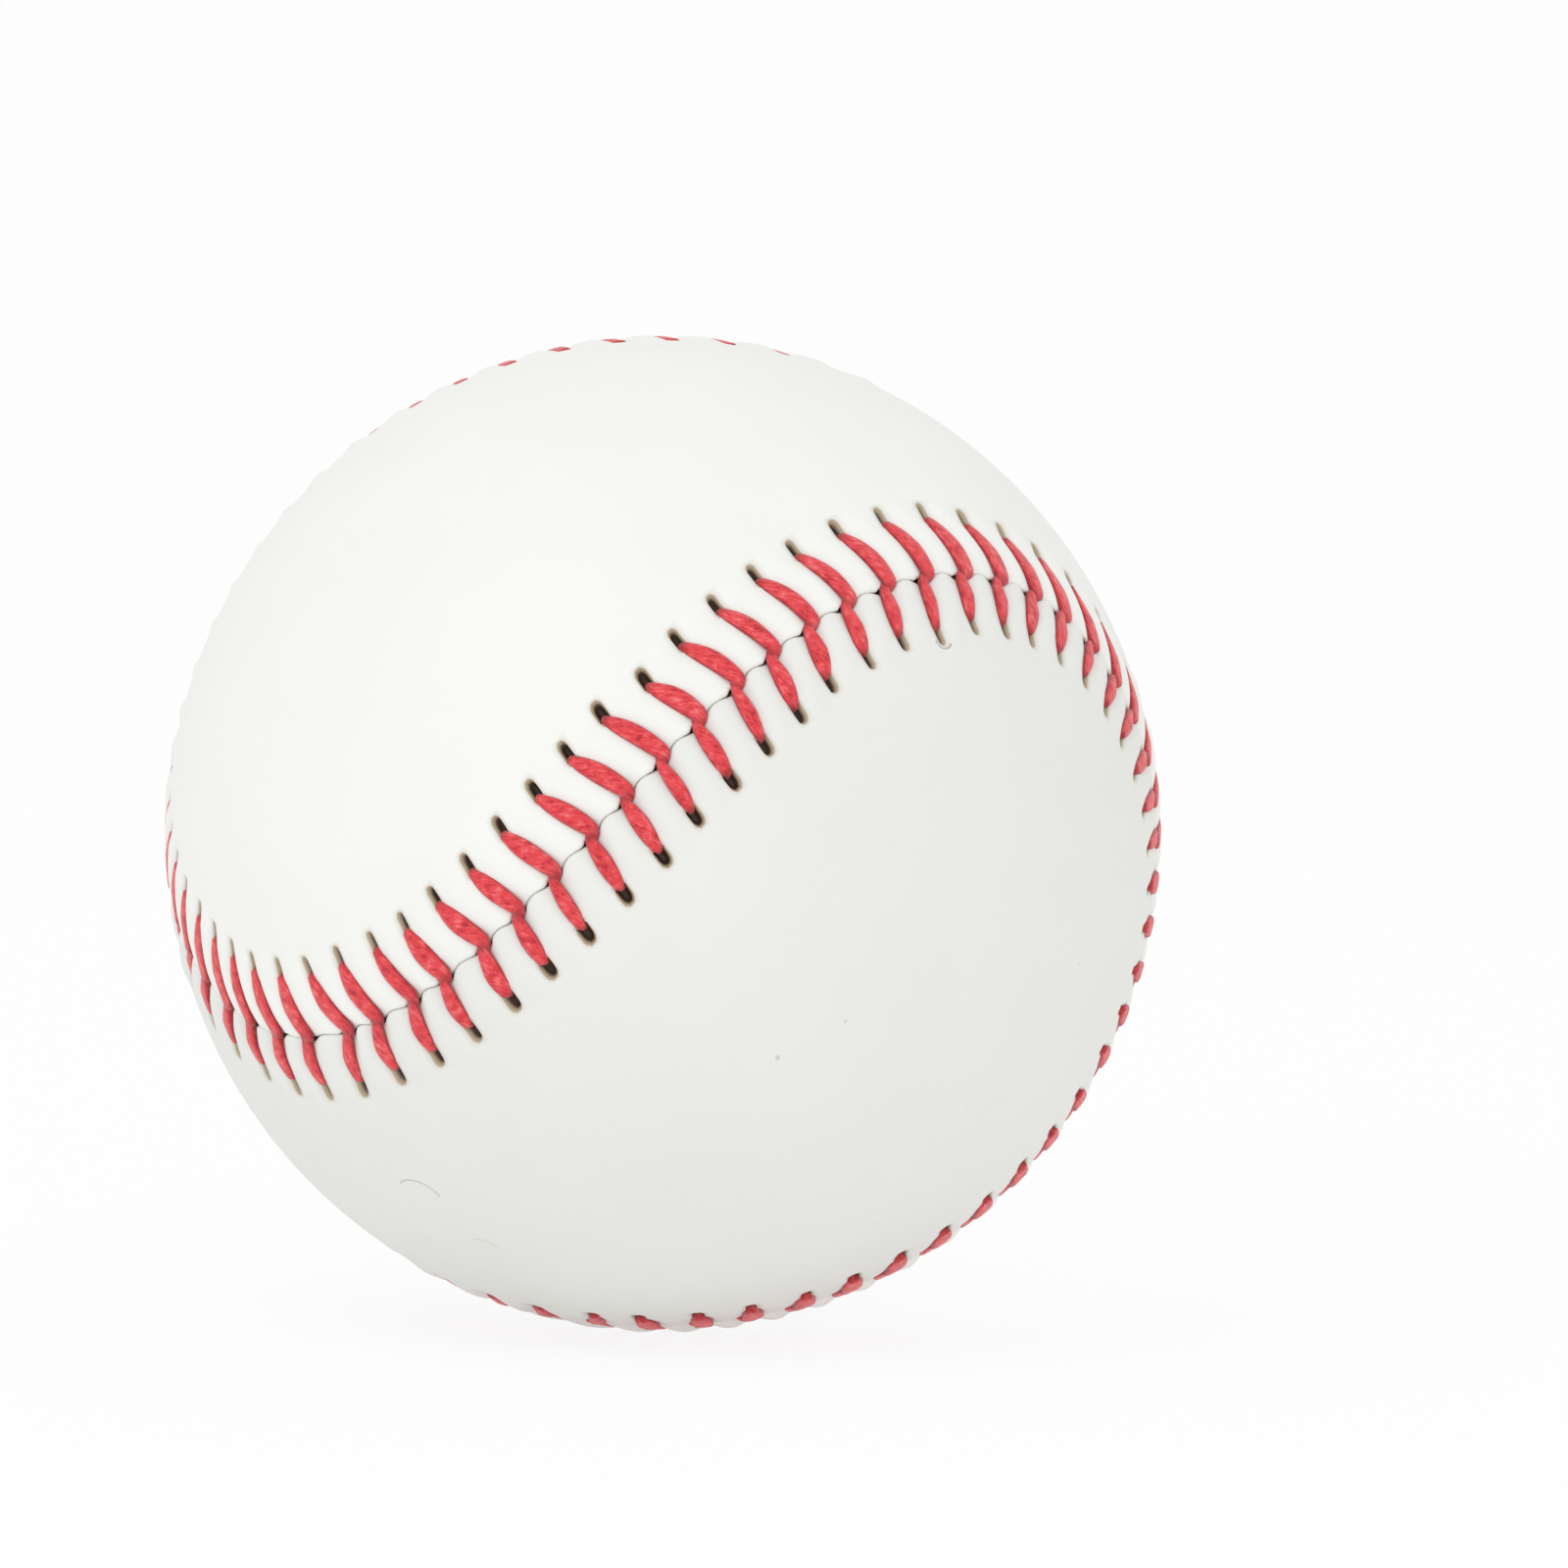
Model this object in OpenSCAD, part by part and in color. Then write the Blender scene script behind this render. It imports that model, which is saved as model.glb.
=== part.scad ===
// Baseball, built from the middle outwards: a cork and rubber pill, four yarn windings,
// an adhesive film, two figure-eight cover panels and the two threads that sew them together.
// The origin is the ball's centre. The seam is laid out about its own axes and then turned by
// the lie angles, so the ball lies on the floor as it does in the photograph, +Z up.

/* [Pill] */
// Diameter of the cork composition centre
core_d = 20.6; // [18:0.1:24]
// Thickness of the black rubber half shells
black_t = 3.8; // [2:0.1:5]
// Height of the red rubber washer between the black half shells
washer_h = 1.6; // [0.8:0.1:3]
// Thickness of the red rubber layer moulded over the black shells
red_t = 2.4; // [1:0.1:4]

/* [Windings] */
// Thickness of the first winding, four-ply grey wool
wool_1_t = 14.6; // [12:0.1:16]
// Thickness of the second winding, three-ply white wool
wool_2_t = 1.75; // [1:0.05:3]
// Thickness of the third winding, three-ply grey wool
wool_3_t = 1.65; // [1:0.05:3]
// Thickness of the finishing winding, fine white yarn
finish_t = 1; // [0.85:0.05:1.5]
// Thickness of the adhesive film under each cover panel
film_t = 0.12; // [0.05:0.01:0.3]

/* [Cover] */
// Thickness of the leather
cover_t = 1.27; // [1:0.01:1.8]
// Play between one layer of the ball and the next
layer_gap = 0.05; // [0.02:0.01:0.1]
// Hairline between the edges of the two panels
seam_gap = 0.16; // [0.05:0.01:0.3]

/* [Seam] */
// How far the seam swings from a circle, as a share: more gives narrower waists
swing_share = 0.31; // [0.27:0.01:0.34]
// How much the seam's bends are squared, as a share
bend_share = -0.022; // [-0.03:0.001:0]
// Turn of the seam about X, in degrees, as the ball lies
lie_angle_x = -53; // [-180:0.1:180]
// Turn of the seam about Y, in degrees, as the ball lies
lie_angle_y = -11.4; // [-180:0.1:180]
// Turn of the seam about Z, in degrees, as the ball lies
lie_angle_z = -92.3; // [-180:0.1:180]

/* [Stitches] */
// Number of V stitches round the seam, an even number, because two threads take turns
stitch_count = 108; // [96:2:112]
// Where the first V points, as a share of the distance between stitches
phase_share = 0.722; // [0:0.001:1]
// Distance from the seam to the far end of a slit in panel A
reach_a = 6.1; // [5.5:0.05:6.5]
// Distance from the seam to the far end of a slit in panel B
reach_b = 5.1; // [4.8:0.05:6]
// How far a slit in panel A trails the point of its V along the seam
lag_a = 0.65; // [0:0.05:1]
// How far a slit in panel B trails the point of its V along the seam
lag_b = 1.25; // [0.5:0.05:1.5]
// Length of a stitch slit
slit_l = 2.3; // [2:0.05:2.6]

/* [Thread] */
// Width of the waxed thread where it spreads on the leather
thread_w = 1.3; // [1:0.05:1.4]
// Thickness of the thread
thread_h = 0.6; // [0.4:0.05:0.65]
// Width of the thread where it is pinched in a slit or in the seam, as a share of its full width
pinch_share = 0.6; // [0.5:0.05:0.7]
// How far an arm of a V bows forwards along the seam
arm_bow = 0.35; // [0:0.05:0.6]
// How far forwards the thread has gone halfway along its run under the leather, as a share
lean_share = 0.25; // [0.1:0.01:0.5]
// Play round the thread
thread_gap = 0.06; // [0.03:0.01:0.1]

/* [Hidden] */
$fn = 96;

// Radii from the centre outwards, each layer with its play below it
core_r = core_d / 2;
black_in_r = core_r + layer_gap;
black_r = black_in_r + black_t;
red_in_r = black_r + layer_gap;
red_r = red_in_r + red_t;
wool_1_in_r = red_r + layer_gap;
wool_1_r = wool_1_in_r + wool_1_t;
wool_2_in_r = wool_1_r + layer_gap;
wool_2_r = wool_2_in_r + wool_2_t;
wool_3_in_r = wool_2_r + layer_gap;
wool_3_r = wool_3_in_r + wool_3_t;
finish_in_r = wool_3_r + layer_gap;
finish_r = finish_in_r + finish_t;
film_in_r = finish_r + layer_gap;
film_r = film_in_r + film_t;
cover_in_r = film_r + layer_gap;
ball_r = cover_in_r + cover_t;

// The thread runs over the leather and, between stitches, in a channel under it
over_r = ball_r + thread_gap + thread_h / 2;
under_r = cover_in_r - thread_gap - thread_h / 2;
pinch_w = thread_w * pinch_share;
stagger = pinch_w + 3 * thread_gap;
channel_floor_r = under_r - thread_h / 2 - 3 * thread_gap;

// The two sides of the seam
SIDE_A = 1;
SIDE_B = -1;

// The seam's length, walked in short steps, gives an even spacing of the stitches
WALK_STEPS = 720;
walk = [for (step = 0, run = 0; step <= WALK_STEPS;
             run = run + norm(seam_at(turn_of(step + 1)) - seam_at(turn_of(step))), step = step + 1)
        [run, turn_of(step)]];
seam_l = ball_r * walk[WALK_STEPS][0];
pitch = seam_l / stitch_count;

// The panel edges are cut at this many places on each side of the tip
EDGE_STEPS = 108;
// The channel is cut at this many places round the seam
CHANNEL_STEPS = 108;
// The thread has this many corners in its section
THREAD_SIDES = 6;

// Cuts run this far past the leather
cut_over = cover_t;

function unit(v) = v / norm(v);
function turn_of(step) = 360 * step / WALK_STEPS;

// A point of the seam on the unit sphere, at an angle once round the ball
function seam_at(turn) = unit([
    (1 - swing_share) * cos(turn) + swing_share * cos(3 * turn) + bend_share * cos(5 * turn),
    (1 - swing_share) * sin(turn) - swing_share * sin(3 * turn) + bend_share * sin(5 * turn),
    2 * sqrt((1 - swing_share) * swing_share) * sin(2 * turn)]);

// The same at a share of the seam's length, and the way ahead along it
function wrap(share) = share - floor(share);
function seam_dir(share) = seam_at(lookup(wrap(share) * walk[WALK_STEPS][0], walk));
function seam_ahead(share) =
    unit(seam_dir(share + 0.5 / WALK_STEPS) - seam_dir(share - 0.5 / WALK_STEPS));

// The direction of a place beside the seam: positive across is on panel A
function beside(share, across) =
    let (p = seam_dir(share), side = cross(p, seam_ahead(share)), turn = across / ball_r * 180 / PI)
    unit(cos(turn) * p + sin(turn) * unit(side));

// A place on one arm of stitch i: u is 0 in the seam and 1 at the far end of the slit.
// The two arms of a V go down into the seam one behind the other.
function reach(side) = side > 0 ? reach_a : reach_b;
function lag(side) = side > 0 ? lag_a : lag_b;
function stitch_share(i) = (i + phase_share) / stitch_count;
function arm_dir(i, side, u, bow = 0) =
    beside(stitch_share(i) + (side * stagger / 2 * (1 - u) - lag(side) * u + bow) / seam_l,
           side * reach(side) * u);

// The thread comes up at the seam's end of the slit
function rise_across(side) = reach(side) - slit_l + 2 * thread_gap + thread_h / 2;
function rise_u(side) = rise_across(side) / reach(side);

// Under the leather the thread first runs straight across, then forwards to the next slit
function under_dir(i, side) =
    let (down = side * stagger / 2, up = pitch - lag(-side) * rise_u(-side))
    beside(stitch_share(i) + (down * (1 - lean_share) + up * lean_share) / seam_l,
           -side * rise_across(-side) / 2);

// The six places of one stitch: up through the slit, over the leather, down and on under it
function stitch_points(i, side) =
    let (up = arm_dir(i, side, rise_u(side)),
         mid = arm_dir(i, side, rise_u(side) / 2, arm_bow),
         down = arm_dir(i, side, 0))
    [up * under_r, up * over_r, mid * over_r, down * over_r, down * under_r,
     under_dir(i, side) * under_r];
width_shares = [pinch_share, pinch_share, 1, pinch_share, pinch_share, pinch_share];

// A flat ribbon section at place k, mitred where the thread turns
function thread_ring(points, k) =
    let (last = len(points) - 1,
         come = unit(points[max(k, 1)] - points[max(k, 1) - 1]),
         go = unit(points[min(k, last - 1) + 1] - points[min(k, last - 1)]),
         along = unit(come + go),
         ahead = seam_ahead(stitch_share(floor(k / len(width_shares)))),
         wide = unit(ahead - (ahead * along) * along),
         thick = cross(along, wide) * sqrt(2 / (1 + come * go)),
         w = thread_w * width_shares[k % len(width_shares)])
    [for (c = [0 : THREAD_SIDES - 1]) let (a = 360 * c / THREAD_SIDES)
        points[k] + wide * (w / 2 * cos(a)) + thick * (thread_h / 2 * sin(a) / sin(60))];

function tube_faces(rings, sides) = concat(
    [for (r = [0 : rings - 2]) for (c = [0 : sides - 1]) for (half = [0, 1])
        let (a = r * sides + c, b = r * sides + (c + 1) % sides)
        half == 0 ? [a, a + sides, b] : [b, a + sides, b + sides]],
    [for (c = [1 : sides - 2]) [0, c, c + 1]],
    [for (c = [1 : sides - 2]) let (base = (rings - 1) * sides) [base, base + c + 1, base + c]]);

// Turns the seam and what follows it from its own axes to the way the ball lies
module as_it_lies() {
    rotate([lie_angle_x, lie_angle_y, lie_angle_z]) children();
}

// Stands its children on the ball: X towards a given way, Z outwards
module stand_on(dir, ahead) {
    x = unit(ahead - (ahead * dir) * dir);
    y = cross(dir, x);
    multmatrix([[x[0], y[0], dir[0], 0], [x[1], y[1], dir[1], 0], [x[2], y[2], dir[2], 0]])
        children();
}

module layer(inner_r, outer_r) {
    difference() {
        sphere(r = outer_r);
        sphere(r = inner_r);
    }
}

// Everything on one side of the seam: rays from near the centre out past the cover.
// Rows join places at equal distances from the panel's tip, so the caps don't cross.
module panel_sector(side) {
    // The seam's tips and waists lie at the odd eighths of its length
    tip_share = side > 0 ? 7 / 8 : 1 / 8;
    loop = 2 * EDGE_STEPS;
    far = 3 * ball_r;
    near = ball_r / 3;
    edge = [for (m = [0 : loop - 1]) beside(tip_share + m / loop, side * seam_gap / 2)];
    walls = [for (m = [0 : loop - 1]) for (half = [0, 1])
        let (a = m, b = (m + 1) % loop)
        half == 0 ? [a, a + loop, b] : [b, a + loop, b + loop]];
    cap = [for (j = [0 : EDGE_STEPS - 1]) for (half = [0, 1])
        if (!(half == 0 && j == 0) && !(half == 1 && j == EDGE_STEPS - 1))
            half == 0 ? [j, j + 1, loop - j] : [j + 1, loop - j - 1, (loop - j) % loop]];
    faces = concat(walls, cap, [for (f = cap) [f[0] + loop, f[2] + loop, f[1] + loop]]);
    polyhedron(
        points = concat([for (p = edge) p * near], [for (p = edge) p * far]),
        faces = side > 0 ? faces : [for (f = faces) [f[0], f[2], f[1]]]);
}

// The slot in the seam where both threads of a stitch go down
module seam_slot(i) {
    slot_l = stagger + pinch_w + 2 * thread_gap;
    slot_w = thread_h + 2 * thread_gap;
    stand_on(seam_dir(stitch_share(i)), seam_ahead(stitch_share(i)))
        translate([-slot_l / 2, -slot_w / 2, cover_in_r - cut_over])
            cube([slot_l, slot_w, cover_t + 2 * cut_over]);
}

// The slit that one arm comes up through
module stitch_slit(i, side) {
    slit_w = pinch_w + 4 * thread_gap;
    tip = arm_dir(i, side, 1);
    stand_on(tip, arm_dir(i, side, 0) - tip)
        translate([0, -slit_w / 2, cover_in_r - cut_over])
            cube([slit_l, slit_w, cover_t + 2 * cut_over]);
}

// The room under the cover, along the seam, that the threads run in
module thread_channel() {
    half_a = rise_across(SIDE_A) + thread_h;
    half_b = rise_across(SIDE_B) + thread_h;
    top_r = ball_r + thread_h;
    corners = [[-half_b, channel_floor_r], [0, channel_floor_r], [half_a, channel_floor_r],
               [half_a, top_r], [0, top_r], [-half_b, top_r]];
    n = len(corners);
    count = CHANNEL_STEPS * n;
    polyhedron(
        points = [for (m = [0 : CHANNEL_STEPS - 1]) for (c = corners)
            beside(m / CHANNEL_STEPS, c[0]) * c[1]],
        faces = [for (m = [0 : CHANNEL_STEPS - 1]) for (c = [0 : n - 1]) for (half = [0, 1])
            let (a = m * n + c, b = m * n + (c + 1) % n)
            half == 0 ? [a, (a + n) % count, b] : [b, (a + n) % count, (b + n) % count]]);
}

module cover_panel(side) {
    as_it_lies() difference() {
        intersection() {
            layer(cover_in_r, ball_r);
            panel_sector(side);
        }
        for (i = [0 : stitch_count - 1]) {
            seam_slot(i);
            stitch_slit(i, side);
        }
    }
}

// One thread sews every other arm on each side, and is unbroken all round the ball
module thread(first_side) {
    points = [for (i = [0 : stitch_count - 1])
        each stitch_points(i, i % 2 == 0 ? first_side : -first_side)];
    as_it_lies() polyhedron(
        points = [for (k = [0 : len(points) - 1]) each thread_ring(points, k)],
        faces = tube_faces(len(points), THREAD_SIDES));
}

module half_space(up) {
    translate([-black_r, -black_r, up ? washer_h / 2 : -washer_h / 2 - black_r])
        cube([2 * black_r, 2 * black_r, black_r]);
}

module cork_core() {
    color([0.66, 0.47, 0.3]) sphere(r = core_r);
}

module black_shell_upper() {
    color([0.1, 0.1, 0.1]) intersection() {
        layer(black_in_r, black_r);
        half_space(true);
    }
}

module black_shell_lower() {
    color([0.1, 0.1, 0.1]) intersection() {
        layer(black_in_r, black_r);
        half_space(false);
    }
}

module black_shell_washer() {
    color([0.62, 0.1, 0.1]) intersection() {
        layer(black_in_r, black_r);
        translate([-black_r, -black_r, -washer_h / 2]) cube([2 * black_r, 2 * black_r, washer_h]);
    }
}

module red_rubber_layer() {
    color([0.68, 0.13, 0.1]) layer(red_in_r, red_r);
}

module grey_wool_inner() {
    color([0.58, 0.58, 0.57]) layer(wool_1_in_r, wool_1_r);
}

module white_wool() {
    color([0.9, 0.89, 0.85]) layer(wool_2_in_r, wool_2_r);
}

module grey_wool_outer() {
    color([0.62, 0.62, 0.61]) layer(wool_3_in_r, wool_3_r);
}

module finishing_yarn() {
    color([0.93, 0.92, 0.88]) as_it_lies() difference() {
        layer(finish_in_r, finish_r);
        thread_channel();
    }
}

module adhesive_film() {
    color([0.85, 0.78, 0.6]) as_it_lies() difference() {
        layer(film_in_r, film_r);
        thread_channel();
    }
}

module cover_panel_a() {
    color([0.96, 0.96, 0.94]) cover_panel(SIDE_A);
}

module cover_panel_b() {
    color([0.93, 0.93, 0.91]) cover_panel(SIDE_B);
}

module thread_a() {
    color([0.87, 0.2, 0.26]) thread(SIDE_A);
}

module thread_b() {
    color([0.8, 0.16, 0.22]) thread(SIDE_B);
}

cork_core();
black_shell_upper();
black_shell_lower();
black_shell_washer();
red_rubber_layer();
grey_wool_inner();
white_wool();
grey_wool_outer();
finishing_yarn();
adhesive_film();
cover_panel_a();
cover_panel_b();
thread_a();
thread_b();
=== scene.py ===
"""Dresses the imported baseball: stitched leather panels, waxed thread and the wound layers inside.

Every place beside the seam is given in seam millimetres: x runs forwards along the seam from the
point of a V stitch, y runs from the seam onto a panel (positive on panel A), and h is the height
over the cover's surface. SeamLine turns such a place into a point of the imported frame, in metres.
"""

import logging
import math
from dataclasses import dataclass, field
from enum import Enum

import bmesh
import bpy
import numpy as np
from mathutils import Matrix, Vector


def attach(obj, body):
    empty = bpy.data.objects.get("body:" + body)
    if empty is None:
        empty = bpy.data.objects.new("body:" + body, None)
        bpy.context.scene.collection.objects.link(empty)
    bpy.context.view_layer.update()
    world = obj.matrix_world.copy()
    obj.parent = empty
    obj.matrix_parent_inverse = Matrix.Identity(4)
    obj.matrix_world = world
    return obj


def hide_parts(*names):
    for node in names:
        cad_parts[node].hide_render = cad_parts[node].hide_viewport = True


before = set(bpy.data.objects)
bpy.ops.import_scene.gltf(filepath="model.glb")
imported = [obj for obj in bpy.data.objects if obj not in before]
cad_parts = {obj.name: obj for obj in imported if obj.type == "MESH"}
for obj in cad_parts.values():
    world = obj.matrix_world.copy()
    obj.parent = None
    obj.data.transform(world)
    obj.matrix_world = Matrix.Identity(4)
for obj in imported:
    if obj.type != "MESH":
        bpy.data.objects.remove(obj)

LOG = logging.getLogger("baseball")
MM = 0.001
BODY = "root"
# Two rows count as the same within this many millimetres
TINY = 1e-6
WHITE = (1.0, 1.0, 1.0, 1.0)

Three = tuple[float, float, float]
Socket = bpy.types.NodeSocket
Mesh = bmesh.types.BMesh
Vert = bmesh.types.BMVert
Face = bmesh.types.BMFace

# How far the sewn seam strays from its even line towards panel A, in millimetres, by stitch
STRAY = (
    (-19, 0.0), (-17, 0.6), (-15, 1.3), (-14, 1.1), (-12, 0.1), (-11, 0.0), (9, 0.0), (11, -0.4),
    (13, -1.2), (15, -1.5), (17, -1.2), (19, -1.3), (21, -1.8), (23, -1.6), (25, -0.9), (27, -0.3),
    (30, 0.0),
)

# Stitches before and after a place over which the stray is evened out
STRAY_SPREAD = (-1.2, -0.6, 0.0, 0.6, 1.2)


def ease(part: np.ndarray) -> np.ndarray:
    """A share between 0 and 1 with a soft start and a soft end."""
    return part * part * (3 - 2 * part)


def unit(ways: np.ndarray) -> np.ndarray:
    """Vectors made one long."""
    return ways / np.linalg.norm(ways, axis=-1, keepdims=True)


class Side(Enum):
    """The two cover panels, by the side of the seam that they lie on."""

    A = 1
    B = -1


def by_side(on_a: object, on_b: object) -> dict:
    """A dataclass field with one value for each panel."""
    return field(default_factory=lambda: {Side.A: on_a, Side.B: on_b})


@dataclass
class SeamLine:
    """The closed wavy line that the two panels meet on, and the places beside it."""

    ball_r: float = 37.29
    swing_share: float = 0.31
    bend_share: float = -0.022
    lie_angles: Three = (-53.0, -11.4, -92.3)
    stitch_count: int = 108
    phase_share: float = 0.722
    walk_steps: int = 720
    hardest_bend: float = 1.6

    def __post_init__(self) -> None:
        """Walks the seam once, so that shares of its length can be looked up."""
        turn = np.linspace(0.0, 2.0 * math.pi, self.walk_steps + 1)
        points = self._curve(turn)
        steps = np.linalg.norm(np.diff(points, axis=0), axis=1)
        self._turn = turn
        self._run = np.concatenate([[0.0], np.cumsum(steps)])
        self.length = float(self._run[-1]) * self.ball_r
        self.pitch = self.length / self.stitch_count
        x, y, z = (math.radians(a) for a in self.lie_angles)
        self.lie = np.array(
            Matrix.Rotation(z, 3, "Z") @ Matrix.Rotation(y, 3, "Y") @ Matrix.Rotation(x, 3, "X")
        )

    def _curve(self, turn: np.ndarray) -> np.ndarray:
        """The seam on the unit sphere, about its own axes.

        Args:
            turn: angles once round the ball, in radians.

        Returns:
            One unit vector a row.
        """
        swing, bend = self.swing_share, self.bend_share
        points = np.stack(
            [
                (1 - swing) * np.cos(turn) + swing * np.cos(3 * turn) + bend * np.cos(5 * turn),
                (1 - swing) * np.sin(turn) - swing * np.sin(3 * turn) + bend * np.sin(5 * turn),
                2 * math.sqrt((1 - swing) * swing) * np.sin(2 * turn),
            ],
            axis=-1,
        )
        return unit(points)

    def direction(self, share: np.ndarray) -> np.ndarray:
        """Unit vectors towards places at given shares of the seam's length."""
        run = (share - np.floor(share)) * self._run[-1]
        return self._curve(np.interp(run, self._run, self._turn))

    def place(self, share: np.ndarray, y: np.ndarray, h: np.ndarray) -> np.ndarray:
        """Points beside the seam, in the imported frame.

        Args:
            share: share of the seam's length.
            y: distance from the seam over the surface, in millimetres.
            h: height over the cover's surface, in millimetres.

        Returns:
            One point a row, in metres.
        """
        out = self.direction(share)
        step = 0.5 / self.walk_steps
        ahead = self.direction(share + step) - self.direction(share - step)
        across = unit(np.cross(out, ahead))
        angle = ((y + self.stray(share)) / self.ball_r)[..., None]
        ray = np.cos(angle) * out + np.sin(angle) * across
        return (ray @ self.lie.T) * ((self.ball_r + h)[..., None] * MM)

    def stray(self, share: np.ndarray) -> np.ndarray:
        """How far the sewn seam lies off its even line towards panel A.

        Args:
            share: share of the seam's length.

        Returns:
            Distances, in millimetres.
        """
        stitch = share * self.stitch_count - self.phase_share
        at, off = zip(*STRAY)
        near = [np.interp(stitch + k, at, off, period=self.stitch_count) for k in STRAY_SPREAD]
        return sum(near) / len(near)

    def turning(self, share: np.ndarray) -> np.ndarray:
        """How hard the seam bends towards panel A.

        Args:
            share: share of the seam's length.

        Returns:
            The bend, from -1 for hard away from panel A to 1.
        """
        step = 2.0 / self.walk_steps
        before, here, after = (self.direction(share + k * step) for k in (-1, 0, 1))
        across = unit(np.cross(here, after - before))
        bend = np.sum((after - 2 * here + before) * across, axis=-1) / (self._run[-1] * step) ** 2
        return np.clip(bend / self.hardest_bend, -1.0, 1.0)

    def share_of(self, stitch: np.ndarray, x: np.ndarray) -> np.ndarray:
        """The share of the seam's length at x millimetres past the point of a stitch."""
        return (stitch + self.phase_share) / self.stitch_count + x / self.length


@dataclass(frozen=True)
class ArmLine:
    """The middle line of an arm and its slit: x and y in seam millimetres."""

    meet: tuple[float, float]
    rise: tuple[float, float]
    tip: tuple[float, float]
    bow: float


# The arm where the seam bends away from panel A, runs straight and bends towards it
ARM_LINES = {
    Side.A: (
        ArmLine((0.60, 0.15), (-0.80, 4.75), (-1.00, 6.40), 0.42),
        ArmLine((0.50, 0.15), (-0.65, 4.75), (-0.33, 6.40), 0.14),
        ArmLine((0.00, 0.15), (-1.30, 4.75), (-1.45, 6.40), -0.40),
    ),
    Side.B: (
        ArmLine((-0.20, 0.10), (-1.30, 3.85), (-1.30, 5.45), 0.03),
        ArmLine((-0.25, 0.10), (-1.15, 3.85), (-1.45, 5.45), 0.09),
        ArmLine((-0.25, 0.10), (-1.00, 3.85), (-1.00, 5.45), -0.40),
    ),
}

# Runs of stitches whose arms on one panel are pulled tight: the first, the last and how deep, in
# millimetres
TIGHT = {Side.A: (18, 38, 0.20), Side.B: (84, 93, 0.20)}

# The run on panel B where the leather lies flat and the arms are wide, proud and nearly straight
FLAT_FIRST, FLAT_LAST = 18, 33

# How this ball's own stitches lie where the photograph shows them, from stitch 94 on: how far the
# V's point is off its even place, then the far end of its slit on panel A and on panel B
SEEN_FIRST = 94
SEEN = (
    (0.00, -0.62, 6.40, -0.30, 5.00),
    (0.30, -0.96, 6.40, -0.20, 5.00),
    (-0.15, -1.34, 6.35, 0.10, 4.90),
    (-0.30, -1.74, 6.27, -0.24, 5.16),
    (-0.35, -1.53, 6.27, -0.66, 5.22),
    (0.60, -1.40, 6.18, -0.94, 5.27),
    (0.00, -0.87, 6.25, -0.95, 5.19),
    (0.10, -0.40, 6.04, -1.06, 5.22),
    (-0.35, -0.45, 5.90, -1.21, 5.23),
    (0.00, -0.58, 5.95, -1.22, 5.26),
    (-0.15, -0.35, 6.02, -1.42, 5.30),
    (-0.10, -0.21, 6.24, -1.52, 5.48),
    (0.10, -0.21, 6.25, -1.42, 5.55),
    (0.00, -0.29, 6.41, -1.39, 5.70),
    (-0.05, -0.30, 6.58, -1.46, 5.46),
    (-0.05, -0.20, 5.95, -1.44, 5.59),
    (0.10, -0.32, 6.38, -1.57, 5.48),
    (-0.05, -0.36, 6.44, -1.61, 5.40),
    (-0.05, -0.46, 6.46, -1.71, 5.07),
    (-0.15, -0.72, 6.49, -1.40, 5.16),
    (-0.10, -0.71, 6.54, -1.37, 5.08),
    (-0.10, -0.68, 6.49, -1.28, 5.53),
    (-0.05, -0.79, 6.54, -0.85, 5.05),
    (-0.10, -1.10, 6.31, -0.91, 5.13),
    (0.00, -1.31, 6.18, -1.50, 5.16),
    (-0.20, -1.50, 6.20, -1.45, 5.20),
    (0.00, -1.60, 6.20, -1.42, 5.20),
    (0.10, -1.50, 6.20, -1.40, 5.30),
)


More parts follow.
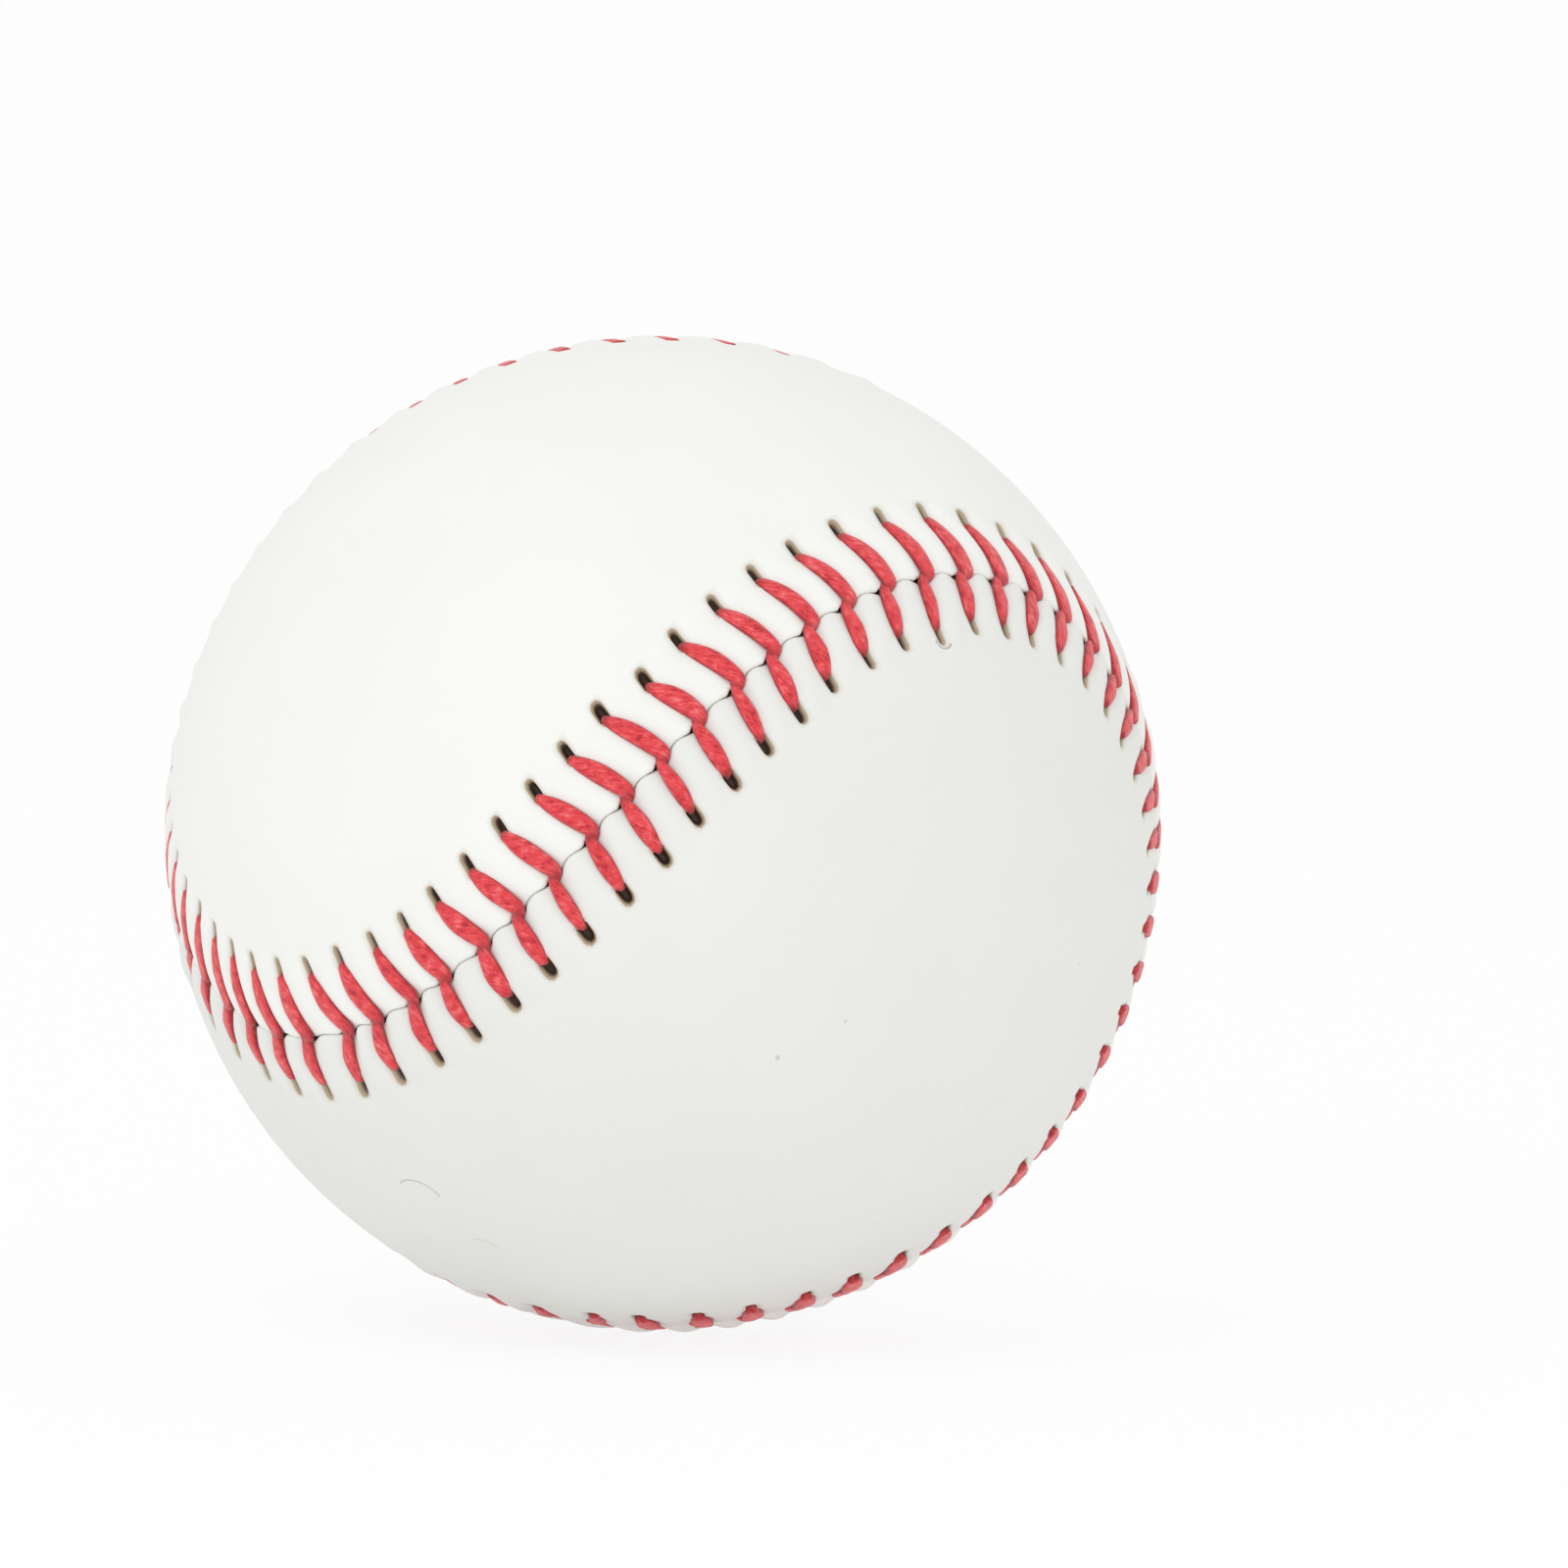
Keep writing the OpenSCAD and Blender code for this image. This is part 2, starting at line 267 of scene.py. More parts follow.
@dataclass
class Stitching:
    """How the V stitches lie beside the seam, with the small unevenness of hand sewing."""

    seam: SeamLine
    seed: int = 41
    place_spread: float = 0.11
    width_spread: float = 0.07
    slit_spread: float = 0.14
    # How much of a point's own shift the arm half way up still has
    rise_follow: float = 0.25
    # Where the unevenness across the seam starts and over how many millimetres it grows
    settle_from: float = 1.0
    settle_over: float = 3.0
    # A slit's width and depth where the seam bends away from panel A, runs straight and bends
    # towards it
    slit_w: Three = (0.62, 1.00, 0.68)
    slit_depth: Three = (0.60, 1.15, 0.60)
    slit_widen: dict = by_side(1.0, 1.12)
    # The flat run: how much of its puckers, of its arms' lean and width is kept, how proud its arms
    # stand and how far back the V's points lie
    flat_pucker: float = 0.10
    flat_lean: float = 0.75
    flat_widen: float = 1.30
    flat_rise: float = 0.16
    flat_back: float = 0.50

    def __post_init__(self) -> None:
        """Works out every stitch's lines once."""
        rng = np.random.default_rng(self.seed)
        count = self.seam.stitch_count
        numbers = np.arange(count)
        self.turning = self.seam.turning(self.seam.share_of(numbers, np.zeros(count)))
        seen = (SEEN_FIRST + np.arange(len(SEEN))) % count
        table = np.array(SEEN)
        self.vee = rng.normal(0.0, self.place_spread, count)
        self.vee[seen] = table[:, 0]
        self.vee -= self.flat_back * self.flat_share(numbers)
        self.meet_x, self.rise_x, self.tip_x, self.even_tip, self.bow = {}, {}, {}, {}, {}
        self.shift_y, self.widen, self.half_slit, self.depth, self.sink = {}, {}, {}, {}, {}
        for side, column in ((Side.A, 1), (Side.B, 3)):
            lines = ARM_LINES[side]
            tip_x, rise_x, meet_x = (
                self.by_turning([place[0] for place in places])
                for places in zip(*((line.tip, line.rise, line.meet) for line in lines))
            )
            off_x = rng.normal(0.0, self.place_spread, count)
            off_y = rng.normal(0.0, self.place_spread, count)
            off_x[seen] = table[:, column] - tip_x[seen]
            off_y[seen] = table[:, column + 1] - lines[0].tip[1]
            in_run = (numbers >= FLAT_FIRST) & (numbers <= FLAT_LAST)
            flat = in_run & (side is Side.B)
            lean = np.where(flat, self.flat_lean, 1.0)
            self.even_tip[side], self.tip_x[side] = tip_x * lean, tip_x * lean + off_x
            follow = self.rise_follow
            self.rise_x[side] = rise_x * lean + follow * self.vee + (1 - follow) * off_x
            self.meet_x[side] = meet_x + self.vee
            self.bow[side] = self.by_turning([line.bow for line in lines])
            self.shift_y[side] = off_y
            self.widen[side] = 1 + rng.normal(0.0, self.width_spread, count)
            first, last, deep = TIGHT[side]
            tight = (numbers >= first) & (numbers <= last)
            self.sink[side] = np.where(tight, deep, np.where(flat, -self.flat_rise, 0.0))
            self.widen[side] = np.where(flat, self.flat_widen, self.widen[side])
            wide = 1 + rng.uniform(-self.slit_spread, self.slit_spread, count)
            self.half_slit[side] = self.by_turning(self.slit_w) / 2 * wide * self.slit_widen[side]
            self.depth[side] = self.by_turning(self.slit_depth)

    @staticmethod
    def flat_share(place: np.ndarray) -> np.ndarray:
        """How far places counted in stitches lie in the flat run, 0 to 1."""
        run = (FLAT_FIRST - 2, FLAT_FIRST, FLAT_LAST, FLAT_LAST + 2)
        return np.interp(place, run, (0.0, 1.0, 1.0, 0.0))

    def by_turning(self, values: list[float] | tuple[float, ...]) -> np.ndarray:
        """One value a stitch, by the way the seam bends there."""
        return np.interp(self.turning, (-1.0, 0.0, 1.0), values)

    def line_x(self, side: Side, stitch: np.ndarray, y: np.ndarray) -> np.ndarray:
        """The middle line of an arm and its slit.

        Args:
            side: the panel that the arm lies on.
            stitch: the number of the stitch, from 0.
            y: distance from the seam, in millimetres, positive.

        Returns:
            How far along the seam the line is from the stitch's even place, in millimetres.
        """
        which = stitch % self.seam.stitch_count
        line = ARM_LINES[side][0]
        y0, y1, y2 = line.meet[1], line.rise[1], line.tip[1]
        u = np.clip((y - y0) / (y1 - y0), 0.0, 1.0)
        past = np.clip((y - y1) / (y2 - y1), 0.0, 1.0)
        x = self.meet_x[side][which] * (1 - u) + self.rise_x[side][which] * u
        x = x + self.bow[side][which] * 4 * u * (1 - u)
        return x + (self.tip_x[side][which] - self.rise_x[side][which]) * past

    def shift(self, side: Side, stitch: np.ndarray, y: np.ndarray) -> np.ndarray:
        """How far across the seam an arm and its slit are off their even place."""
        which = stitch % self.seam.stitch_count
        return self.shift_y[side][which] * np.clip((y - self.settle_from) / self.settle_over, 0, 1)

    def even_x(self, stitch: np.ndarray, x: np.ndarray) -> np.ndarray:
        """Where a place would lie if every V's point were at its even place.

        Args:
            stitch: the number of the stitch.
            x: distance along the seam from that stitch's even place, in millimetres.

        Returns:
            The distance with the points' own shifts taken out, in millimetres.
        """
        count, pitch = self.seam.stitch_count, self.seam.pitch
        points = np.arange(count) + self.vee / pitch
        return x - np.interp(stitch + x / pitch, points, self.vee, period=count)


class Nodes:
    """A short way to build the nodes of a material or of the world."""

    def __init__(self, name: str, world: bool = False) -> None:
        """Starts an empty material or world.

        Args:
            name: its name.
            world: whether it is a world.
        """
        self.block = (bpy.data.worlds if world else bpy.data.materials).new(name)
        self.block.use_nodes = True
        self.tree = self.block.node_tree
        self.tree.nodes.clear()
        self.output = self.tree.nodes.new("ShaderNodeOutput" + ("World" if world else "Material"))

    def add(self, kind: str, settings: dict | None = None, **inputs: object) -> bpy.types.Node:
        """Adds a node.

        Args:
            kind: the node's type, without the word ShaderNode.
            settings: its own properties.
            **inputs: its inputs by name, with spaces as underscores: a value, or a socket to link.

        Returns:
            The new node.
        """
        node = self.tree.nodes.new("ShaderNode" + kind)
        for key, value in (settings or {}).items():
            setattr(node, key, value)
        for key, value in inputs.items():
            numbered = key[0] == "i" and key[1:].isdigit()
            socket = node.inputs[int(key[1:]) if numbered else key.replace("_", " ")]
            if isinstance(value, Socket):
                self.tree.links.new(value, socket)
            else:
                socket.default_value = value
        return node

    def ramp(self, factor: Socket, stops: list[tuple[float, tuple]]) -> Socket:
        """A colour ramp.

        Args:
            factor: what drives it.
            stops: positions and colours, in order.

        Returns:
            Its colour.
        """
        node = self.add("ValToRGB", Fac=factor)
        elements = node.color_ramp.elements
        while len(elements) < len(stops):
            elements.new(0.5)
        for element, (position, colour) in zip(elements, stops):
            element.position = position
            element.color = (*colour, 1.0)
        return node.outputs["Color"]

    def blend(self, factor: object, a: object, b: object) -> Socket:
        """A colour between a and b.

        Args:
            factor: 0 for a, 1 for b; it is clamped.
            a: a colour or a socket.
            b: a colour or a socket.

        Returns:
            The mixed colour.
        """
        a, b = (value if isinstance(value, Socket) else (*value, 1.0) for value in (a, b))
        settings = {"data_type": "RGBA", "clamp_factor": True}
        return self.add("Mix", settings, i0=factor, i6=a, i7=b).outputs[2]

    def math(self, operation: str, a: object, b: object = 0.5, c: object = 0.5) -> Socket:
        """A Math node's result."""
        return self.add("Math", {"operation": operation}, i0=a, i1=b, i2=c).outputs[0]

    def noise(self, place: Socket, scale: float, detail: float, roughness: float = 0.5) -> Socket:
        """A Noise Texture's factor."""
        made = self.add("TexNoise", Vector=place, Scale=scale, Detail=detail, Roughness=roughness)
        return made.outputs["Fac"]

    def step(self, value: Socket, first: float, last: float) -> Socket:
        """A soft step from 0 at first to 1 at last."""
        soft = {"interpolation_type": "SMOOTHSTEP"}
        return self.add("MapRange", soft, Value=value, From_Min=first, From_Max=last).outputs[0]

    def together(self, first: Socket, share: float, other: Socket) -> Socket:
        """A share of one pattern and the rest of another."""
        rest = self.math("MULTIPLY", other, 1 - share)
        return self.math("ADD", self.math("MULTIPLY", first, share), rest)

    def distance(self, place: Socket, point: Three) -> Socket:
        """How far a place is from a point given in millimetres, in metres."""
        settings, point = {"operation": "DISTANCE"}, [part * MM for part in point]
        return self.add("VectorMath", settings, i0=place, i1=point).outputs["Value"]

    def finish(self, shader: bpy.types.Node) -> bpy.types.Material | bpy.types.World:
        """Links the shader to the output and gives the material or world."""
        self.tree.links.new(shader.outputs[0], self.output.inputs["Surface"])
        return self.block


@dataclass(frozen=True)
class Mark:
    """A speck or a curl of lint on the leather, placed in millimetres from the ball's middle."""

    middle: Three
    tint: Three
    share: float
    width: float
    ring_r: float = 0.0
    # The middle of a curl's arc; the arc ends where the ring is as far off as the reach
    crown: Three = (0.0, 0.0, 0.0)
    reach: float = 0.0


LINT, BROWN_LINT, RED_LINT = (0.30, 0.30, 0.27), (0.25, 0.23, 0.18), (0.55, 0.10, 0.08)
DIRT = (0.35, 0.33, 0.29)

MARKS = (
    Mark((-17.41, -22.31, -24.43), LINT, 0.60, 0.13, 1.95, (-17.76, -24.23, -22.26), 2.6),
    Mark((20.70, -26.10, 17.05), BROWN_LINT, 0.75, 0.12, 0.70, (20.75, -26.50, 16.35), 0.95),
    Mark((-12.83, -20.55, -28.48), RED_LINT, 0.35, 0.12, 1.30, (-12.63, -22.02, -27.45), 1.3),
    Mark((30.76, -19.89, -7.48), (0.30, 0.28, 0.24), 0.55, 0.20),
    Mark((22.52, -24.29, -17.35), DIRT, 0.35, 0.22),
    Mark((16.68, -23.68, -23.65), DIRT, 0.40, 0.20),
    Mark((21.78, -28.40, -10.83), DIRT, 0.30, 0.20),
    Mark((15.63, -21.27, -26.48), DIRT, 0.30, 0.22),
)


@dataclass(frozen=True)
class LeatherFinish:
    """Alum-tanned white cowhide: satin, with pores, fine creases and a few specks, and painted
    shade deep in its slits and cut edges.
    """

    name: str = "white_leather"
    base: Three = (0.87, 0.88, 0.845)
    warm: Three = (0.852, 0.858, 0.82)
    tone: float = 1.0
    raw: Three = (0.50, 0.40, 0.27)
    # Painted shade at the bottom of the slits and of the cut edge
    deep: Three = (0.052, 0.022, 0.013)
    speck: Three = (0.42, 0.38, 0.33)
    roughness: float = 0.42
    # Patterns a metre of the tone's blotches, the specks, the places where they gather, the creases
    # and the pores
    blotches: float = 70.0
    specks: float = 150.0
    speck_size: float = 0.035
    gatherings: float = 190.0
    gathered: float = 0.62
    creases: float = 900.0
    pores: float = 2600.0

    def build(self) -> bpy.types.Material:
        """Builds the finish.

        Returns:
            The material.
        """
        n = Nodes(self.name)
        place = n.add("TexCoord").outputs["Object"]
        blotch = n.noise(place, self.blotches, 3.0, 0.6)
        base, warm = (tuple(part * self.tone for part in tint) for tint in (self.base, self.warm))
        colour = n.ramp(blotch, [(0.35, base), (0.75, warm)])
        cells = n.add("TexVoronoi", Vector=place, Scale=self.specks).outputs["Distance"]
        dots = n.math("LESS_THAN", cells, self.speck_size)
        near = n.math("GREATER_THAN", n.noise(place, self.gatherings, 0.0), self.gathered)
        dots = n.math("MULTIPLY", dots, near)
        colour = n.blend(n.math("MULTIPLY", dots, 0.45), colour, self.speck)
        for mark in MARKS:
            colour = n.blend(self.seen(n, place, mark), colour, mark.tint)
        # Down the slits and the cut edge the leather turns from its raw tan to painted shade
        depth = n.add("Attribute", {"attribute_name": "raw"}).outputs["Fac"]
        cut = [(0.0, self.raw), (0.28, self.raw), (0.62, self.deep), (1.0, self.deep)]
        colour = n.blend(n.math("MULTIPLY", depth, 6.0), colour, n.ramp(depth, cut))
        cells = n.add(
            "TexVoronoi", {"feature": "DISTANCE_TO_EDGE"}, Vector=place, Scale=self.pores
        )
        crease = n.noise(place, self.creases, 5.0, 0.65)
        height = n.math("MULTIPLY_ADD", cells.outputs["Distance"], 0.5, crease)
        bump = n.add("Bump", Strength=0.10, Distance=0.0001, Height=height)
        smooth, rough = self.roughness - 0.06, self.roughness + 0.08
        rough = n.add("MapRange", Value=crease, To_Min=smooth, To_Max=rough).outputs[0]
        shader = n.add(
            "BsdfPrincipled", Base_Color=colour, Roughness=rough, Normal=bump.outputs[0]
        )
        shader.inputs["Specular IOR Level"].default_value = 0.35
        return n.finish(shader)

    @staticmethod
    def seen(n: Nodes, place: Socket, mark: Mark) -> Socket:
        """How strongly a mark covers the leather.

        Args:
            n: the material's nodes.
            place: the place on the leather, in metres.
            mark: the mark.

        Returns:
            Its share, 0 to 1.
        """
        off = n.math("SUBTRACT", n.distance(place, mark.middle), mark.ring_r * MM)
        off = n.math("ABSOLUTE", off)
        share = n.math("MULTIPLY_ADD", off, -mark.share / (mark.width * MM), mark.share)
        if mark.reach:
            near = n.math("LESS_THAN", n.distance(place, mark.crown), mark.reach * MM)
            share = n.math("MULTIPLY", share, near)
        return share


@dataclass(frozen=True)
class ThreadFinish:
    """Red waxed thread: fine fibres along its length, with pale and dark streaks, and painted shade
    on its sides and ends.
    """

    name: str = "red_thread"
    base: Three = (0.76, 0.042, 0.053)
    pale: Three = (0.90, 0.17, 0.175)
    dark: Three = (0.44, 0.010, 0.020)
    # Painted shade on the arm's sides and ends
    painted_shade: Three = (0.26, 0.010, 0.015)
    arms: int = 108
    # How often the fibres' pattern repeats along the thread and round it, and its slant
    fibres: tuple[float, float] = (930.0, 3.3)
    slant_deg: float = 16.0
    patches: float = 1500.0

    def build(self) -> bpy.types.Material:
        """Builds the finish.

        Returns:
            The material.
        """
        n = Nodes(self.name)
        uv = n.add("UVMap", {"uv_map": "along"}).outputs["UV"]
        twist = n.add("Mapping", Vector=uv)
        twist.inputs["Scale"].default_value = (*self.fibres, 1.0)
        twist.inputs["Rotation"].default_value = (0.0, 0.0, math.radians(self.slant_deg))
        streaks = n.add("Mapping", Vector=twist.outputs[0])
        streaks.inputs["Scale"].default_value = (0.9, 7.0, 1.0)
        fibre = n.noise(streaks.outputs[0], 1.0, 4.0, 0.7)
        patch = n.noise(n.add("TexCoord").outputs["Object"], self.patches, 4.0)
        both = n.together(fibre, 0.6, patch)
        tints = [(0.40, self.dark), (0.48, self.base), (0.52, self.base), (0.62, self.pale)]
        colour = n.ramp(both, tints)
        # Painted shade darkens the arm's two sides, and its ends at the slit and in the seam
        parts = n.add("SeparateXYZ", Vector=uv)
        round_it = n.math("MULTIPLY", parts.outputs["Y"], 2 * math.pi)
        across = n.math("ABSOLUTE", n.math("COSINE", round_it))
        along = n.math("FRACT", n.math("MULTIPLY", parts.outputs["X"], float(self.arms)))
        ends = n.math("MAXIMUM", n.step(along, 0.74, 0.90), n.step(along, 0.20, 0.10))
        painted_shade_mask = n.math("MAXIMUM", n.step(across, 0.78, 1.0), ends)
        uneven = n.math("MULTIPLY_ADD", fibre, -1.6, 1.45)
        colour = n.blend(n.math("MULTIPLY", painted_shade_mask, uneven), colour, self.painted_shade)
        bump = n.add("Bump", Strength=0.9, Distance=0.00014, Height=both)
        shader = n.add("BsdfPrincipled", Base_Color=colour, Roughness=0.5, Normal=bump.outputs[0])
        shader.inputs["Specular IOR Level"].default_value = 0.4
        shader.inputs["Sheen Weight"].default_value = 0.25
        return n.finish(shader)


@dataclass(frozen=True)
class PlainFinish:
    """A matte moulded or dried material with a fine mottle of its own."""

    name: str
    base: Three
    other: Three
    scale: float
    roughness: float = 0.8

    def build(self) -> bpy.types.Material:
        """Builds the finish.

        Returns:
            The material.
        """
        n = Nodes(self.name)
        grain = n.noise(n.add("TexCoord").outputs["Object"], self.scale, 4.0)
        colour = n.ramp(grain, [(0.35, self.base), (0.65, self.other)])
        bump = n.add("Bump", Strength=0.3, Distance=0.0002, Height=grain)
        shader = n.add(
            "BsdfPrincipled", Base_Color=colour, Roughness=self.roughness, Normal=bump.outputs[0]
        )
        return n.finish(shader)


@dataclass(frozen=True)
class YarnFinish:
    """Plied yarn: plies twisted along its length, with painted shade between them, and loose
    fibres.
    """

    name: str
    base: Three
    other: Three
    plies: int
    twists: float
    fuzz: float = 1800.0

    def build(self) -> bpy.types.Material:
        """Builds the finish.

        Returns:
            The material.
        """
        n = Nodes(self.name)
        parts = n.add("SeparateXYZ", Vector=n.add("UVMap", {"uv_map": "along"}).outputs["UV"])
        round_it = n.math("MULTIPLY", parts.outputs["Y"], float(self.plies))
        turn = n.math("MULTIPLY_ADD", parts.outputs["X"], self.twists, round_it)
        ply = n.math("ABSOLUTE", n.math("SINE", n.math("MULTIPLY", turn, math.pi)))
        fuzz = n.noise(n.add("TexCoord").outputs["Object"], self.fuzz, 3.0)
        both = n.together(ply, 0.6, fuzz)
        # The low parts between the plies get the darker colour, a painted shade
        colour = n.ramp(both, [(0.25, self.other), (0.60, self.base)])
        bump = n.add("Bump", Strength=0.6, Distance=0.0002, Height=both)
        shader = n.add("BsdfPrincipled", Base_Color=colour, Roughness=0.9, Normal=bump.outputs[0])
        shader.inputs["Sheen Weight"].default_value = 0.3
        return n.finish(shader)


def grid_sheet(columns: int, rows: int) -> tuple[Mesh, np.ndarray, np.ndarray]:
    """A flat sheet to be laid round the ball.

    Args:
        columns: faces along it.
        rows: faces across it.

    Returns:
        The bmesh, and each vertex's column and row.
    """
    bm = bmesh.new()
    bm.loops.layers.uv.new("along")
    bmesh.ops.create_grid(bm, x_segments=columns, y_segments=rows, size=0.5, calc_uvs=True)
    bm.verts.ensure_lookup_table()
    flat = np.array([v.co[:2] for v in bm.verts])
    column = np.rint((flat[:, 0] + 0.5) * columns).astype(int)
    row = np.rint((flat[:, 1] + 0.5) * rows).astype(int)
    return bm, column, row


def lay(bm: Mesh, points: np.ndarray) -> None:
    """Moves every vertex to its point."""
    for vert, point in zip(bm.verts, points.tolist()):
        vert.co = point


def close_tube(bm: Mesh, row: np.ndarray) -> None:
    """Joins the two long sides of a sheet and caps its ends.

    Args:
        bm: the sheet, laid as a tube.
        row: each vertex's row.
    """
    bm.verts.ensure_lookup_table()
    sides = [bm.verts[i] for i in np.flatnonzero((row == 0) | (row == row.max()))]
    bmesh.ops.remove_doubles(bm, verts=sides, dist=1e-6)
    bmesh.ops.holes_fill(bm, edges=[e for e in bm.edges if e.is_boundary], sides=0)
    bmesh.ops.recalc_face_normals(bm, faces=bm.faces)


def put(name: str, data: bpy.types.ID) -> bpy.types.Object:
    """Adds an object to the scene, at the origin.

    Args:
        name: its name.
        data: its mesh, light or camera.

    Returns:
        The new object.
    """
    thing = bpy.data.objects.new(name, data)
    bpy.context.scene.collection.objects.link(thing)
    return thing


def make_piece(
    bm: Mesh, name: str, material: bpy.types.Material
) -> bpy.types.Object:
    """Turns a bmesh into a smooth piece that rides on the ball.

    Args:
        bm: the bmesh, which is freed.
        name: the piece's name.
        material: its material.

    Returns:
        The new object.
    """
    mesh = bpy.data.meshes.new(name)
    bm.to_mesh(mesh)
    bm.free()
    mesh.polygons.foreach_set("use_smooth", [True] * len(mesh.polygons))
    mesh.materials.append(material)
    piece = put(name, mesh)
    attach(piece, BODY)
    LOG.info("%s: %d faces", name, len(mesh.polygons))
    return piece


@dataclass
class CoverPanel:
    """One figure-eight leather panel, with its rolled edge, slits and puckers."""

    side: Side
    stitching: Stitching
    name: str
    node: str
    thickness: float = 1.27
    lip_r: float = 0.32
    # The edge's wave from stitch to stitch: size, place, mean, and how far in it has faded out
    edge_wave: float = 0.20
    edge_wave_x: float = 1.7
    edge_mean: float = -0.05
    edge_fade: float = 2.5
    # Where the edge draws back from the thread that goes down beside it: x, how far and how wide
    notch: dict = by_side((-0.45, 0.34, 0.34), (0.22, 0.20, 0.45))
    lift: float = -0.08
    lift_reach: float = 3.4
    valley: float = 0.14
    valley_reach: float = 1.2
    # The puckers: height, the share of it that lies under the plain ball, how far past the slits
    # they reach and over how much they fade
    pucker: float = 0.42
    pucker_dip: float = 0.4
    pucker_past: float = 0.8
    pucker_fade: float = 2.2
    # How deep and wide an arm presses the leather, how far past its slit's start and how softly
    press: float = 0.16
    press_w: float = 0.75
    press_past: float = 0.3
    press_fade: float = 0.6
    # How far a slit leans towards the seam on its way down, and how much narrower it gets
    slit_lean: float = 0.50
    slit_taper: float = 0.55
    # How far a slit reaches under the arm, and how square its ends are, from 0 for round ones to 1
    slit_under: float = 0.25
    slit_end: float = 0.15
    # How far a slit's rim sinks, then the raw tint of that rim and of the panel's lip
    rim_drop: float = 0.05
    rim_tint: float = 0.035
    lip_tint: float = 0.15
    # A step down the cut edge: its depth and its tint
    edge_step: tuple[float, float] = (0.45, 0.25)
    lip_rows: int = 5
    # Columns of one stitch, as distances from the arm's middle line; a slit's outermost one, the
    # zone that holds the slit's, and the zone whose columns follow that arm alone
    columns: tuple[float, ...] = (
        -1.5, -1.25, -1.0, -0.8, -0.33, -0.12, 0.12, 0.33, 0.8, 1.0, 1.25, 1.5, 1.89
    )
    slit_column: float = 0.33
    slit_zone: float = 0.5
    own_zone: float = 0.6
    # The clear strip before a slit, and the row in it
    strip: tuple[float, float] = (0.15, 0.12)
    # Rows from the lip inwards, before, beside and past the slit
    near_rows: tuple[float, ...] = (0.5, 0.7, 0.95, 1.25, 1.6, 2.0, 2.4, 2.8, 3.2, 3.65, 4.1)
    far_rows: tuple[float, ...] = (0.25, 0.6, 1.1, 1.8, 2.8)
    slit_shares: tuple[float, ...] = (0.0, 0.06, 0.16, 0.32, 0.5, 0.68, 0.84, 0.94, 1.0)
    fill_cuts: int = 13
    cap_steps: int = 9

    def rows(self) -> np.ndarray:
        """Where the panel's rows of vertices lie.

        Returns:
            Their distances from the edge, in millimetres.
        """
        turns = [math.radians(90 * k / self.lip_rows) for k in range(self.lip_rows + 1)]
        lip = [self.lip_r * (1 - math.cos(turn)) for turn in turns]
        start, end = self.slit_span()
        clear, before = self.strip
        slit = [start + (end - start) * share for share in self.slit_shares]
        near = [r for r in self.near_rows if r < start - clear]
        return np.array(lip + near + [start - before] + slit + [end + r for r in self.far_rows])

    def slit_span(self) -> tuple[float, float]:
        """Where the slit starts, under the thread, and where it ends."""
        line = ARM_LINES[self.side][0]
        return line.rise[1] - self.slit_under, line.tip[1]

    def build(self, material: bpy.types.Material) -> bpy.types.Object:
        """Makes the panel.

        Args:
            material: the leather.

        Returns:
            The piece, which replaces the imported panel.
        """
        seam, stitching, side = self.stitching.seam, self.stitching, self.side
        rows = self.rows()
        per = len(self.columns)
        bm, column, row = grid_sheet(per * seam.stitch_count, len(rows) - 1)
        # How deep in a cut each vertex lies: raw tan near the top, painted shade further down
        raw = bm.verts.layers.float.new("raw")
        source = bm.verts.layers.int.new("source")
        stitch, local = column // per, column % per
        d = np.array(self.columns)[local]
        y_row = rows[row]
        start, end = self.slit_span()
        which = stitch % seam.stitch_count
        # Slits have round ends, so columns near them close in on the middle line there
        half = stitching.half_slit[side][which]
        inset = np.minimum(y_row - start, end - y_row)
        round_off = 1 - (1 - np.clip(inset / half, 0, 1)) ** 2
        round_off = np.sqrt(np.clip(round_off, self.slit_end, 1))
        beside_slit = (inset >= -TINY) & (np.abs(d) < self.slit_zone)
        d = np.where(beside_slit, d / self.slit_column * half * round_off, d)
        # Past the slits the unevenness of the stitches fades out
        past = ease(np.clip((y_row - end) / self.far_rows[-1], 0, 1))
        y = y_row + stitching.shift(side, stitch, y_row) * (1 - past)
        own = stitching.line_x(side, stitch, y_row)
        other = stitching.line_x(side, stitch + np.sign(d).astype(int), y_row)
        # Columns half way between two stitches follow both of their lines alike
        part = np.clip((np.abs(d) - self.own_zone) / (seam.pitch / 2 - self.own_zone), 0, 1)
        x = own + ease(part) / 2 * (other - own)
        x = x * (1 - past) + stitching.even_tip[side][which] * past + d
        y = y + self.edge(stitch, x) * np.clip(1 - y_row / self.edge_fade, 0, 1)
        free = np.ones(len(d))
        if side is Side.B:
            free -= (1 - stitching.flat_pucker) * stitching.flat_share(stitch + d / seam.pitch)
        lay(bm, seam.place(seam.share_of(stitch, x), side.value * y, self.height(d, y_row, free)))
        for vert in bm.verts:
            vert[source] = vert.index
        bm.verts.ensure_lookup_table()
        last = per * seam.stitch_count
        faces_in_slit = self.slit_faces(bm, local, y_row)
        for i in np.flatnonzero(row == 0):
            bm.verts[i][raw] = self.lip_tint
        ends = [bm.verts[i] for i in np.flatnonzero((column == 0) | (column == last))]
        bmesh.ops.remove_doubles(bm, verts=ends, dist=1e-6)
        self.cut_slits(bm, faces_in_slit, raw, source, (stitch, x, d, y))
        self.close(bm, raw)
        bmesh.ops.recalc_face_normals(bm, faces=bm.faces)
        piece = make_piece(bm, self.name, material)
        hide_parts(self.node)
        return piece

